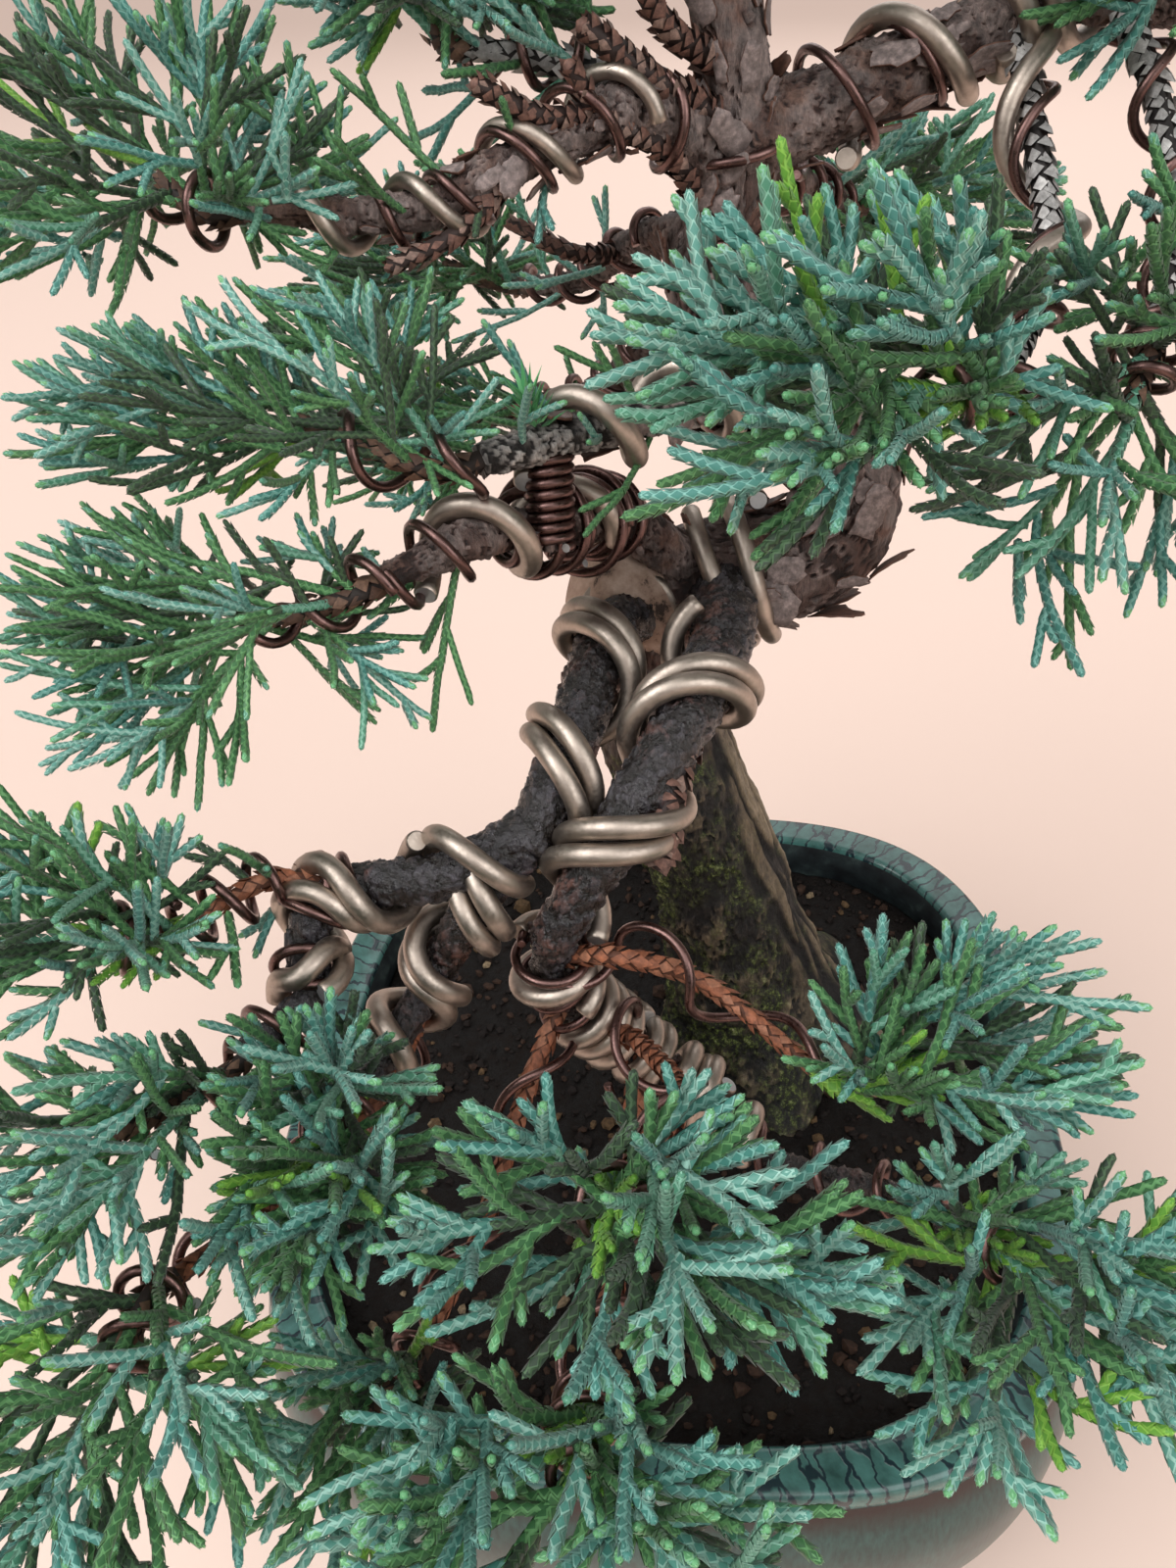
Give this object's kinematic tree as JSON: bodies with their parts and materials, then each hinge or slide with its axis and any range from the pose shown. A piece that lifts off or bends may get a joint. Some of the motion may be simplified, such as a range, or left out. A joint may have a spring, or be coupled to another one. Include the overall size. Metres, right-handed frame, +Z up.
{
  "type": "juniper bonsai",
  "caption": "Potted juniper bonsai with a bent trunk, wired boughs and scale-leaf foliage pads, in a glazed rounded pot.",
  "frame": {"origin": "middle of the flat underside of the pot, on the surface the plant stands on", "axes": "+Z up through the tree, -Y towards the front that the long low boughs reach over, +X to the right seen from the front"},
  "size_m": [0.1274, 0.1535, 0.2023],
  "materials": {
    "pot_glaze": "gloss",
    "soil": "matte",
    "bark": "matte",
    "twig_bark": "matte",
    "wire": "satin",
    "foliage": "matte"
  },
  "bodies": {
    "root": {"pot": "pot_glaze", "soil": "soil", "trunk": "bark", "bough_front_left": "bark", "bough_left_arm": "bark", "twig_left_fork": "twig_bark", "bough_inner_left": "bark", "twig_low_left": "twig_bark", "bough_front_centre": "bark", "bough_front_centre_low": "bark", "twig_right_rim": "twig_bark", "twig_front": "twig_bark", "twig_low_inner": "twig_bark", "twig_front_low": "twig_bark", "bough_front_right": "bark", "bough_left": "bark", "bough_left_high": "bark", "bough_upper_left": "bark", "twig_top_pad": "twig_bark", "bough_upper_right": "bark", "twig_hanging_inner": "twig_bark", "twig_hanging_outer": "twig_bark", "bough_back_left": "bark", "bough_back_left_high": "bark", "bough_back_right": "bark", "wire_front_left_1": "wire", "wire_front_left_2": "wire", "wire_left_arm": "wire", "wire_inner_left": "wire", "wire_front_centre_1": "wire", "wire_front_centre_2": "wire", "wire_trunk": "wire", "wire_left": "wire", "wire_left_high": "wire", "wire_upper_left": "wire", "wire_upper_right": "wire", "foliage_upper_left": "foliage", "foliage_top_pad": "foliage", "foliage_left_high": "foliage", "foliage_left": "foliage", "foliage_back_left_high": "foliage", "foliage_back_left": "foliage", "foliage_back_right": "foliage", "foliage_right_inner": "foliage", "foliage_right_outer": "foliage", "foliage_fork": "foliage", "foliage_left_arm": "foliage", "foliage_front_left": "foliage", "foliage_low_left": "foliage", "foliage_low_inner": "foliage", "foliage_front_centre": "foliage", "foliage_front_low": "foliage", "foliage_right_rim": "foliage", "foliage_front_right": "foliage", "foliage_apex": "foliage", "foliage_top_right": "foliage"}
  },
  "joints": []
}
